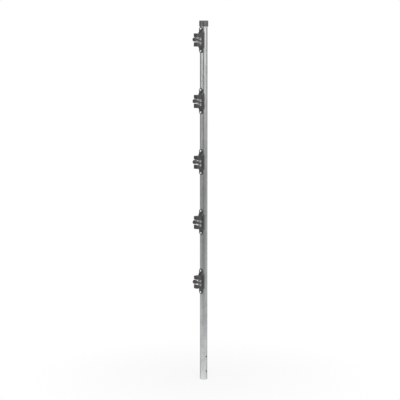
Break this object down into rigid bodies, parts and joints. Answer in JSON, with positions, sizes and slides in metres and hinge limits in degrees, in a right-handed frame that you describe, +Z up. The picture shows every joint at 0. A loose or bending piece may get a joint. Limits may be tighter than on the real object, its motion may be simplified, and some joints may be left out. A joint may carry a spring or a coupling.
{
  "type": "electric fence post",
  "caption": "Round galvanised tube post with a black push-on cap, screwed-on black claw insulators for fence rope, and pin holes at its open lower end.",
  "frame": {"origin": "centre of the tube's open lower end", "axes": "+Z up along the tube's axis, -Y the way the insulators face, X along the stake pin holes and along the fence line"},
  "size_m": [0.0303, 0.061, 1.198],
  "materials": {
    "zinc_tube": "hot-dip galvanised, satin",
    "zinc_screw": "bright zinc plated",
    "black_plastic": "moulded, semi-gloss",
    "cap_plastic": "moulded, semi-gloss"
  },
  "bodies": {
    "root": {"post_tube": "zinc_tube", "end_cap": "cap_plastic", "insulator_screws": "zinc_screw", "insulator_1": "black_plastic", "insulator_2": "black_plastic", "insulator_3": "black_plastic", "insulator_4": "black_plastic", "insulator_5": "black_plastic"}
  },
  "joints": []
}
